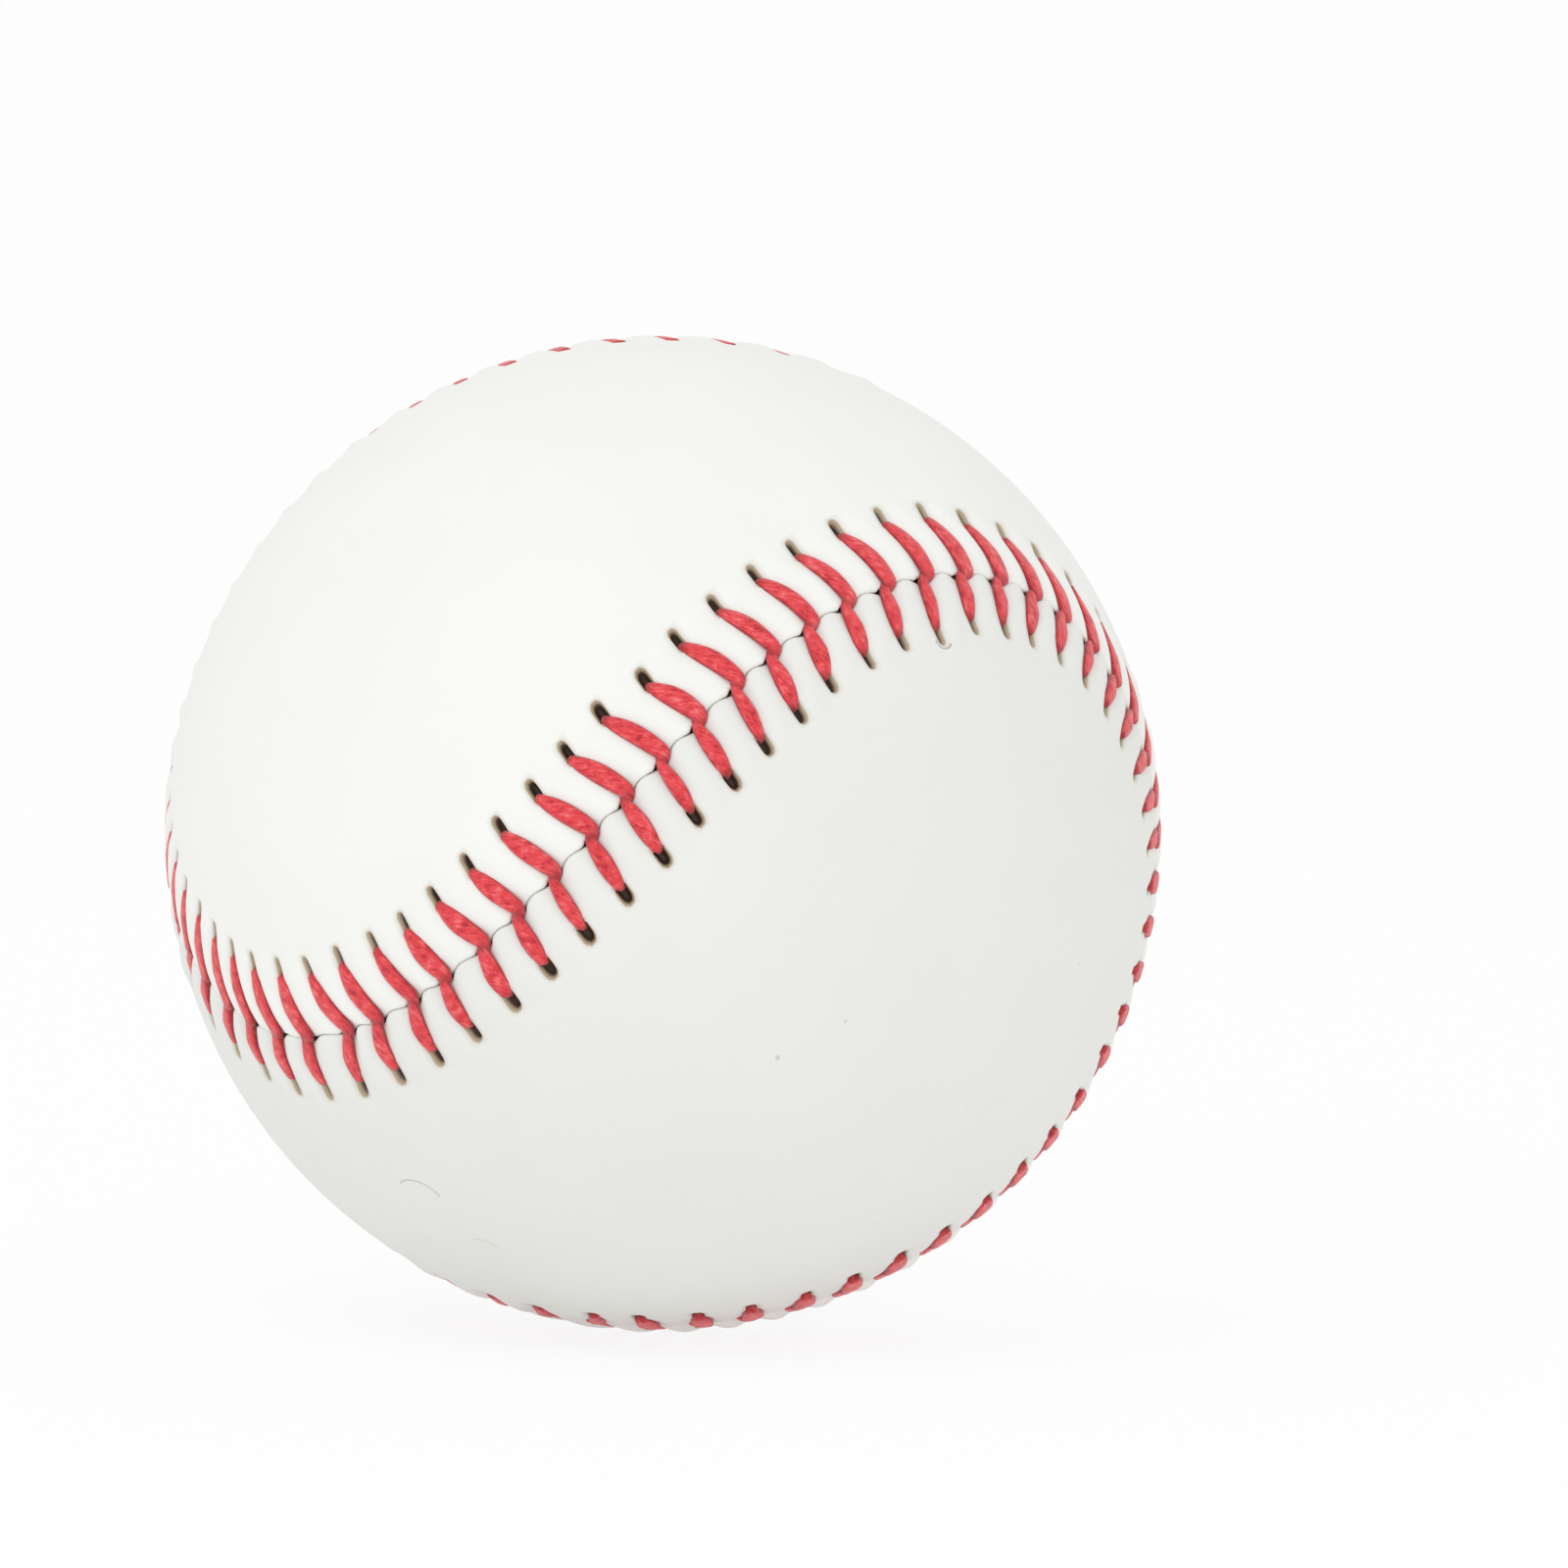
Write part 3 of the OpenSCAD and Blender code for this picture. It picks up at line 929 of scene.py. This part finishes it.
    def edge(self, stitch: np.ndarray, x: np.ndarray) -> np.ndarray:
        """How far the panel's edge draws back from the seam's middle line.

        Args:
            stitch: the number of the stitch.
            x: distance along the seam from the stitch's even place, in millimetres.

        Returns:
            Distances, in millimetres, towards the panel's middle.
        """
        pitch, side = self.stitching.seam.pitch, self.side
        x = self.stitching.even_x(stitch, x)
        wave = self.edge_wave * np.cos(2 * math.pi * (x - self.edge_wave_x) / pitch)
        at, depth, width = self.notch[side]
        near = (x - at + pitch / 2) % pitch - pitch / 2
        return side.value * (self.edge_mean + wave) + depth * np.exp(-((near / width) ** 2))

    def height(self, d: np.ndarray, y: np.ndarray, free: np.ndarray) -> np.ndarray:
        """The leather's height over the plain ball.

        Args:
            d: distance from the arm's middle line, in millimetres.
            y: distance from the edge, in millimetres.
            free: how freely it puckers there, 0 to 1.

        Returns:
            Heights, in millimetres.
        """
        start, end = self.slit_span()
        inside = self.lip_r - np.minimum(y, self.lip_r)
        roll = np.sqrt(np.clip(self.lip_r**2 - inside**2, 0, None)) - self.lip_r
        lip = np.where(y < self.lip_r, roll, 0.0)
        lift = self.lift * np.exp(-((y / self.lift_reach) ** 2))
        lift = lift - self.valley * np.exp(-((y / self.valley_reach) ** 2))
        along = ease(np.clip((end + self.pucker_past - y) / self.pucker_fade, 0, 1))
        pitch = self.stitching.seam.pitch
        puff = self.pucker * (0.5 - 0.5 * np.cos(2 * math.pi * d / pitch)) * along
        press = np.clip((start + self.press_past - y) / self.press_fade, 0, 1)
        press = -self.press * np.exp(-((d / self.press_w) ** 2)) * press
        beside_slit = (y >= start - TINY) & (y <= end + TINY) & (np.abs(d) < self.slit_zone)
        rim = np.where(beside_slit, -self.rim_drop, 0.0)
        return lip + lift + (puff - self.pucker * self.pucker_dip * along) * free + press + rim

    def slit_faces(self, bm: Mesh, local: np.ndarray, y: np.ndarray) -> list[Face]:
        """The faces that lie in the slits.

        Args:
            bm: the panel's sheet.
            local: each vertex's place among the columns of its stitch.
            y: each vertex's distance from the edge, in millimetres.

        Returns:
            The faces.
        """
        start, end = self.slit_span()
        inside = (np.abs(np.array(self.columns)[local]) < self.slit_zone) & (y >= start - TINY)
        inside &= y <= end + TINY
        bm.verts.index_update()
        return [face for face in bm.faces if all(inside[v.index] for v in face.verts)]

    def cut_slits(
        self,
        bm: Mesh,
        faces: list[Face],
        raw: object,
        source: object,
        laid: tuple[np.ndarray, np.ndarray, np.ndarray, np.ndarray],
    ) -> None:
        """Sinks the slits through the leather, leaning towards the seam.

        Args:
            bm: the panel.
            faces: the slits' faces.
            raw: the layer that says how deep in the cut a vertex lies.
            source: the layer with each vertex's number in the sheet.
            laid: the sheet's stitches, x, distances from the arm's line and y, by vertex number.
        """
        stitch, x, d, y = laid
        seam, side = self.stitching.seam, self.side
        deepest = max(self.stitching.slit_depth)
        for vert in {v for face in faces for v in face.verts}:
            vert[raw] = self.rim_tint
        made = bmesh.ops.extrude_face_region(bm, geom=faces)["geom"]
        bmesh.ops.delete(bm, geom=faces, context="FACES")
        floor = [g for g in made if isinstance(g, Vert)]
        ids = np.array([vert[source] for vert in floor])
        depth = self.stitching.depth[side][stitch[ids] % seam.stitch_count]
        down_x = x[ids] - d[ids] * self.slit_taper
        down_y = y[ids] - self.slit_lean * depth / deepest
        points = seam.place(seam.share_of(stitch[ids], down_x), side.value * down_y, -depth)
        # The slit's floor gets painted shade, darker the deeper it lies
        for vert, point, part in zip(floor, points.tolist(), (depth / deepest).tolist()):
            vert.co = point
            vert[raw] = part

    def close(self, bm: Mesh, raw: object) -> None:
        """Closes the panel: the middle of its face, its cut edge and its flesh side.

        Args:
            bm: the panel.
            raw: the layer that says how deep in the cut a vertex lies.
        """
        seam = self.stitching.seam
        rims = self.rims(bm)
        off = [np.mean([abs(v.co.length / MM - seam.ball_r) for v in loop]) for loop in rims]
        self.fill(bm, rims[int(np.argmin(off))], seam.ball_r)
        # The cut edge is raw tan at its step and turns to painted shade towards the flesh side
        for drop, depth in (self.edge_step, (self.thickness, 1.0)):
            loop = [e for e in bm.edges if e.is_boundary]
            made = bmesh.ops.extrude_edge_only(bm, edges=loop)["geom"]
            target = seam.ball_r - drop
            for vert in (g for g in made if isinstance(g, Vert)):
                vert.co *= target * MM / vert.co.length
                vert[raw] = depth
        self.fill(bm, self.rims(bm)[0], seam.ball_r - self.thickness)

    @staticmethod
    def rims(bm: Mesh) -> list[list[Vert]]:
        """Finds the open rims of a mesh.

        Args:
            bm: the mesh.

        Returns:
            Each rim's vertices in order.
        """
        # A dict keeps the mesh's own order, so every run starts alike
        edges = {e: None for e in bm.edges if e.is_boundary}
        loops = []
        while edges:
            loop = list(edges.popitem()[0].verts)
            while True:
                nearby = next((e for e in loop[-1].link_edges if e in edges), None)
                if nearby is None:
                    break
                del edges[nearby]
                loop.append(nearby.other_vert(loop[-1]))
            if loop[0] is loop[-1]:
                loop.pop()
            loops.append(loop)
        return loops

    def fill(self, bm: Mesh, loop: list[Vert], radius: float) -> None:
        """Fills a rim with rows of faces from tip to tip.

        Args:
            bm: the panel.
            loop: the rim's vertices in order.
            radius: the radius that the filling lies on, in millimetres.
        """
        seam = self.stitching.seam
        tip_share = 7 / 8 if self.side is Side.A else 1 / 8
        tip = Vector(seam.place(np.array([tip_share]), np.zeros(1), np.zeros(1))[0].tolist())
        start = min(range(len(loop)), key=lambda k: (loop[k].co - tip).length)
        loop = loop[start:] + loop[:start]
        count = len(loop)
        face = bm.faces.new(loop)
        rungs = []
        for k in range(self.cap_steps, count // 2 - self.cap_steps):
            left, right = loop[k], loop[count - k]
            face, new = bmesh.utils.face_split(face, left, right)
            if loop[k + 1] not in face.verts:
                face = new.face if new.face is not face else new.link_loop_radial_next.face
            rungs.append(bm.edges.get((left, right)))
        made = bmesh.ops.subdivide_edges(bm, edges=rungs, cuts=self.fill_cuts, use_grid_fill=True)
        for vert in {g for g in made["geom_inner"] if isinstance(g, Vert)}:
            vert.co *= radius * MM / vert.co.length


@dataclass
class StitchThread:
    """One unbroken waxed thread that sews every other arm on each side."""

    first_side: Side
    stitching: Stitching
    name: str
    node: str
    thickness: float = 0.60
    sides: int = 20
    # The power that squares off its round outline
    outline: float = 0.75
    under_h: float = -1.66
    strands: int = 4
    strand_groove: float = 0.045
    strand_turns: float = 0.30
    # Height of an arm's middle at its slit, half way and at the seam
    arm_h: dict = by_side((-0.28, -0.10, -0.15), (-0.28, -0.13, -0.27))
    # Width of an arm from its slit to the seam, at even steps
    widths: dict = by_side(
        (0.78, 1.22, 1.44, 1.50, 1.47, 1.36, 1.16), (0.82, 1.16, 1.30, 1.32, 1.22, 1.02, 0.76)
    )
    hidden_w: float = 0.62
    arm_steps: int = 17
    # Where an arm comes up through its slit: y past the arm's end, height and width there
    rise_y: Three = (0.12, 0.13, 0.09)
    rise_h: tuple[float, float] = (-0.95, -0.42)
    rise_w: float = 0.55
    # Where an arm goes down into the seam: y, height and width there, how far it turns to the V's
    # point, from where and over how far
    dive_y: tuple[float, ...] = (-0.15, -0.30, -0.40, -0.42)
    dive_h: tuple[float, ...] = (-0.05, -0.22, -0.55)
    dive_w: tuple[float, ...] = (0.88, 0.70, 0.58)
    dive_x: dict = by_side(-0.35, 0.25)
    dive_from: float = 0.35
    dive_over: float = 0.6

    def build(self, material: bpy.types.Material) -> bpy.types.Object:
        """Makes the thread.

        Args:
            material: the waxed thread.

        Returns:
            The piece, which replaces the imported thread.
        """
        seam = self.stitching.seam
        path, half_w = [], []
        for stitch in range(seam.stitch_count):
            side = self.first_side if stitch % 2 == 0 else Side(-self.first_side.value)
            points, widths = self.arm(side, stitch)
            path.append(points)
            half_w.append(widths / 2)
        points, half = np.concatenate(path), np.concatenate(half_w)
        tangent = unit(np.gradient(points, axis=0))
        ahead = np.concatenate([self.ahead(k, len(p)) for k, p in enumerate(path)])
        wide = unit(ahead - np.sum(ahead * tangent, axis=1, keepdims=True) * tangent)
        thick = np.cross(tangent, wide)
        bm, column, row = grid_sheet(len(points) - 1, self.sides)
        angle = 2 * math.pi * row / self.sides
        turns = self.strand_turns * column / len(path[0])
        strand = np.abs(np.cos(self.strands * (angle / 2 + math.pi * turns)))
        groove = 1 - self.strand_groove * (1 - strand)
        flat, over = (
            np.sign(part) * np.abs(part) ** self.outline for part in (np.cos(angle), np.sin(angle))
        )
        flat, over = half[column] * (flat * groove), self.thickness / 2 * (over * groove**2)
        off = wide[column] * flat[:, None] * MM
        lay(bm, points[column] + off + thick[column] * over[:, None] * MM)
        close_tube(bm, row)
        piece = make_piece(bm, self.name, material)
        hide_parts(self.node)
        return piece

    def ahead(self, stitch: int, count: int) -> np.ndarray:
        """The way forwards along the seam at a stitch.

        Args:
            stitch: the number of the stitch.
            count: how many points it has.

        Returns:
            The same unit vector for each point.
        """
        seam = self.stitching.seam
        share = seam.share_of(np.array([stitch, stitch]), np.array([-0.5, 0.5]))
        ends = seam.place(share, np.zeros(2), np.zeros(2))
        return np.repeat(unit(ends[1:] - ends[:1]), count, axis=0)

    def arm(self, side: Side, stitch: int) -> tuple[np.ndarray, np.ndarray]:
        """The points of one arm: up through its slit, over the leather, down and on under it.

        Args:
            side: the panel that the arm lies on.
            stitch: the number of the stitch.

        Returns:
            The points, in metres, and the widths there, in millimetres.
        """
        seam, stitching = self.stitching.seam, self.stitching
        y0, y1 = ARM_LINES[side][0].meet[1], ARM_LINES[side][0].rise[1]
        u = np.linspace(0.0, 1.0, self.arm_steps)
        y_arm = y1 + (y0 - y1) * u
        h_arm = np.interp(u, (0.0, 0.5, 1.0), self.arm_h[side]) - stitching.sink[side][stitch]
        w_arm = np.interp(u, np.linspace(0, 1, len(self.widths[side])), self.widths[side])
        w_arm = w_arm * stitching.widen[side][stitch]
        dive_h, dive_w = np.array(self.dive_h) + h_arm[-1], np.array(self.dive_w) * w_arm[-1]
        y = np.concatenate([y1 + np.array(self.rise_y), y_arm, y0 + np.array(self.dive_y)])
        h = np.concatenate([[self.under_h, *self.rise_h], h_arm, dive_h, [self.under_h]])
        w = np.concatenate([[self.hidden_w] * 2, [self.rise_w], w_arm, dive_w, [self.hidden_w]])
        number = np.full(len(y), stitch)
        x = stitching.line_x(side, number, np.clip(y, 0, None))
        x = x + self.dive_x[side] * np.clip((self.dive_from - y) / self.dive_over, 0, 1)
        y = y + stitching.shift(side, number, y)
        points = seam.place(seam.share_of(number, x), side.value * y, h)
        return points, w


@dataclass
class Winding:
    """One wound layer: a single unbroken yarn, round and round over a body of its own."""

    name: str
    node: str
    slot: str
    outer_r: float
    inner_r: float
    yarn_w: float
    turns: int
    sides: int
    # How deep it makes room for the sewing, how far from the seam, and where that has faded out
    channel: float = 0.0
    channel_reach: float = 6.5
    channel_end: float = 8.0
    points_a_turn: int = 42
    flatness: float = 1.3
    drift: float = 13.37
    sweeps: float = 5.11
    steepest: float = 0.97
    # How far turns sink under others, as a share of the yarn's width, and how often a turn
    weave: float = 0.075
    weaves: float = 3.3
    body_share: float = 0.70
    body_cuts: int = 6
    hollow_cuts: int = 5

    def build(self, material: bpy.types.Material, seam: SeamLine) -> bpy.types.Object:
        """Makes the layer.

        Args:
            material: the yarn.
            seam: the seam over it.

        Returns:
            The piece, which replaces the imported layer.
        """
        bm, column, row = grid_sheet(self.turns * self.points_a_turn, self.sides)
        share = np.linspace(0.0, 1.0, self.turns * self.points_a_turn + 1)
        around, turned = 2 * math.pi * self.turns * share, 2 * math.pi * self.drift * share
        # The plane of each turn tips evenly over and back while it drifts round
        tip = self.steepest * (2 * np.abs(2 * (self.sweeps * share % 1) - 1) - 1)
        flat_x, flat_y = np.cos(around), np.sin(around) * tip
        across = flat_x * np.cos(turned) - flat_y * np.sin(turned)
        along = flat_x * np.sin(turned) + flat_y * np.cos(turned)
        ray = np.stack([across, along, np.sin(around) * np.sqrt(1 - tip**2)], axis=-1)
        # Each turn rides over some of the turns it crosses and under others
        under = self.yarn_w * (0.5 + self.weave * (1 + np.sin(self.weaves * around)))
        points = ray * ((self.outer_r - under - self.room(ray, seam)) * MM)[:, None]
        wide = np.cross(unit(np.gradient(points, axis=0)), ray)
        angle = (2 * math.pi * row / self.sides)[:, None]
        half = self.yarn_w / 2 * MM
        across = wide[column] * np.cos(angle) * self.flatness
        lay(bm, points[column] + half * (across + ray[column] * np.sin(angle)))
        close_tube(bm, row)
        body_r = self.outer_r - self.body_share * self.yarn_w
        body = self.ball(bm, self.body_cuts, body_r)
        rays = np.array([vert.co.normalized() for vert in body])
        for vert, room in zip(body, self.room(rays, seam).tolist()):
            vert.co *= (body_r - room) / body_r
        hollow = self.ball(bm, self.hollow_cuts, self.inner_r)
        inwards = {face for vert in hollow for face in vert.link_faces}
        bmesh.ops.reverse_faces(bm, faces=list(inwards))
        piece = make_piece(bm, self.name, material)
        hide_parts(self.node)
        return piece

    @staticmethod
    def ball(bm: Mesh, cuts: int, radius: float) -> list[Vert]:
        """Adds a ball of triangles with a radius in millimetres."""
        return bmesh.ops.create_icosphere(bm, subdivisions=cuts, radius=radius * MM)["verts"]

    def room(self, ray: np.ndarray, seam: SeamLine) -> np.ndarray:
        """How far the layer sinks to make room for the sewing.

        Args:
            ray: directions from the ball's middle, as unit vectors.
            seam: the seam over the layer.

        Returns:
            Depths, in millimetres.
        """
        if not self.channel:
            return np.zeros(len(ray))
        line = seam.direction(np.arange(seam.walk_steps) / seam.walk_steps) @ seam.lie.T
        off = np.arccos(np.clip((ray @ line.T).max(axis=1), -1.0, 1.0)) * seam.ball_r
        return np.interp(off, (self.channel_reach, self.channel_end), (self.channel, 0.0))


# Each yarn's second colour is painted shade between its plies
GREY, GREY_PLY_SHADE = (0.32, 0.32, 0.31), (0.20, 0.20, 0.195)
COTTON, COTTON_PLY_SHADE = (0.83, 0.81, 0.74), (0.62, 0.60, 0.54)

# The wound layers from the middle outwards: the yarn's finish, then the layer
WINDINGS = (
    (
        YarnFinish("grey_wool_yarn", GREY, GREY_PLY_SHADE, 4, 12000.0),
        Winding("winding_grey_inner", "grey_wool_inner", "grey_wool", 31.25, 16.65, 1.30, 170, 6),
    ),
    (
        YarnFinish("white_wool_yarn", (0.76, 0.74, 0.68), (0.56, 0.54, 0.48), 3, 13000.0),
        Winding("winding_white", "white_wool", "white_wool", 33.05, 31.30, 1.15, 180, 6),
    ),
    (
        YarnFinish("grey_wool_fine", GREY, GREY_PLY_SHADE, 3, 15000.0),
        Winding("winding_grey_outer", "grey_wool_outer", "grey_wool", 34.75, 33.10, 1.10, 190, 6),
    ),
    (
        YarnFinish("white_cotton_yarn", COTTON, COTTON_PLY_SHADE, 2, 50000.0),
        Winding(
            "winding_finish", "finishing_yarn", "white_cotton", 35.80, 34.80, 0.48, 340, 5, 0.50
        ),
    ),
)

# The moulded and dried layers: the finish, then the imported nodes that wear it
INNER_LAYERS = (
    (PlainFinish("cork", (0.40, 0.20, 0.08), (0.16, 0.07, 0.03), 900.0), ("cork_core",)),
    (
        PlainFinish("black_rubber", (0.02, 0.02, 0.022), (0.04, 0.04, 0.042), 400.0, 0.6),
        ("black_shell_upper", "black_shell_lower"),
    ),
    (
        PlainFinish("red_washer", (0.35, 0.02, 0.015), (0.42, 0.04, 0.03), 500.0, 0.6),
        ("black_shell_washer",),
    ),
    (
        PlainFinish("red_rubber", (0.42, 0.03, 0.02), (0.50, 0.05, 0.035), 350.0, 0.6),
        ("red_rubber_layer",),
    ),
    (
        PlainFinish("adhesive", (0.68, 0.56, 0.32), (0.6, 0.47, 0.25), 250.0, 0.4),
        ("adhesive_film",),
    ),
)


@dataclass
class InnerLayers:
    """The moulded and dried layers under the cover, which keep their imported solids."""

    layers: tuple = INNER_LAYERS

    def dress(self) -> None:
        """Gives each packed layer its procedural finish."""
        for finish, nodes in self.layers:
            material = finish.build()
            for node in nodes:
                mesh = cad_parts[node].data
                mesh.materials.clear()
                mesh.materials.append(material)
                LOG.info("%s: %s", node, finish.name)


@dataclass
class Studio:
    """The pale floor, the soft light and the camera at the photograph's angle."""

    ball_r: float = 37.29
    eye: Three = (0.0091, -0.6615, 0.0733)
    tilt_deg: float = -6.0
    lens: float = 202.8
    sensor: float = 36.0
    clip: tuple[float, float] = (0.01, 20.0)
    floor_half: float = 40.0
    # How much the floor glows, and how much more where the camera sees it
    glow: tuple[float, float] = (0.40, 0.46)
    room: float = 0.92
    # Each lamp's name, place, size and watts
    lamps: tuple = (
        ("key", (-0.45, -0.45, 0.7), 0.6, 1.0),
        ("low_fill", (0.1, -0.7, -0.01), 0.4, 0.7),
    )

    def build(self) -> None:
        """Sets the whole stage."""
        self.camera()
        self.floor()
        self.lights()
        bpy.context.scene.view_settings.view_transform = "Standard"

    def camera(self) -> None:
        """Places the camera."""
        data = bpy.data.cameras.new("camera")
        data.lens, data.sensor_width = self.lens, self.sensor
        data.clip_start, data.clip_end = self.clip
        eye = put("camera", data)
        eye.location = self.eye
        eye.rotation_euler = (math.radians(90 + self.tilt_deg), 0.0, 0.0)
        bpy.context.scene.camera = eye

    def floor(self) -> None:
        """Lays the pale floor that the ball rests on."""
        bm = bmesh.new()
        bmesh.ops.create_grid(bm, x_segments=1, y_segments=1, size=self.floor_half)
        bmesh.ops.translate(bm, verts=bm.verts, vec=(0, 0, -self.ball_r * MM))
        mesh = bpy.data.meshes.new("floor")
        bm.to_mesh(mesh)
        bm.free()
        n = Nodes("pale_floor")
        lit = n.add("BsdfDiffuse", Color=(0.95, 0.95, 0.95, 1.0))
        shown = n.add("Emission", Color=WHITE, Strength=1.0)
        # The floor glows a little, like a light table
        glow, more = self.glow
        seen = n.math("MULTIPLY_ADD", n.add("LightPath").outputs["Is Camera Ray"], more, glow)
        mix = n.add("MixShader", i0=seen, i1=lit.outputs[0], i2=shown.outputs[0])
        mesh.materials.append(n.finish(mix))
        floor = put("floor", mesh)

    def lights(self) -> None:
        """A white room, a large soft lamp up to the left of the camera and a small low one."""
        n = Nodes("room", world=True)
        dim = n.add("Background", Color=WHITE, Strength=self.room).outputs[0]
        seen = n.add("Background", Color=WHITE).outputs[0]
        ray = n.add("LightPath").outputs["Is Camera Ray"]
        bpy.context.scene.world = n.finish(n.add("MixShader", i0=ray, i1=dim, i2=seen))
        for lamp in self.lamps:
            self.lamp(*lamp)

    def lamp(self, name: str, place: Three, size: float, watts: float) -> None:
        """A square area lamp that faces the ball.

        Args:
            name: its name.
            place: where it stands, in metres.
            size: its side, in metres.
            watts: its power.
        """
        data = bpy.data.lights.new(name, "AREA")
        data.shape, data.size, data.energy = "SQUARE", size, watts
        lamp = put(name, data)
        lamp.location = place
        lamp.rotation_euler = (-Vector(place)).to_track_quat("-Z", "Y").to_euler()


def main() -> None:
    """Builds the stage, then the ball from the inside out."""
    logging.basicConfig(level=logging.INFO, format="%(name)s %(message)s")
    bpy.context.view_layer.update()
    Studio().build()
    InnerLayers().dress()
    seam = SeamLine()
    for finish, winding in WINDINGS:
        winding.build(finish.build(), seam)
    stitching = Stitching(seam)
    leather_a = LeatherFinish("white_leather_a").build()
    leather_b = LeatherFinish("white_leather_b", tone=0.92).build()
    thread = ThreadFinish().build()
    CoverPanel(Side.A, stitching, "cover_leather_a", "cover_panel_a").build(leather_a)
    CoverPanel(Side.B, stitching, "cover_leather_b", "cover_panel_b").build(leather_b)
    StitchThread(Side.A, stitching, "stitch_thread_a", "thread_a").build(thread)
    StitchThread(Side.B, stitching, "stitch_thread_b", "thread_b").build(thread)


if __name__ == "__main__":
    main()
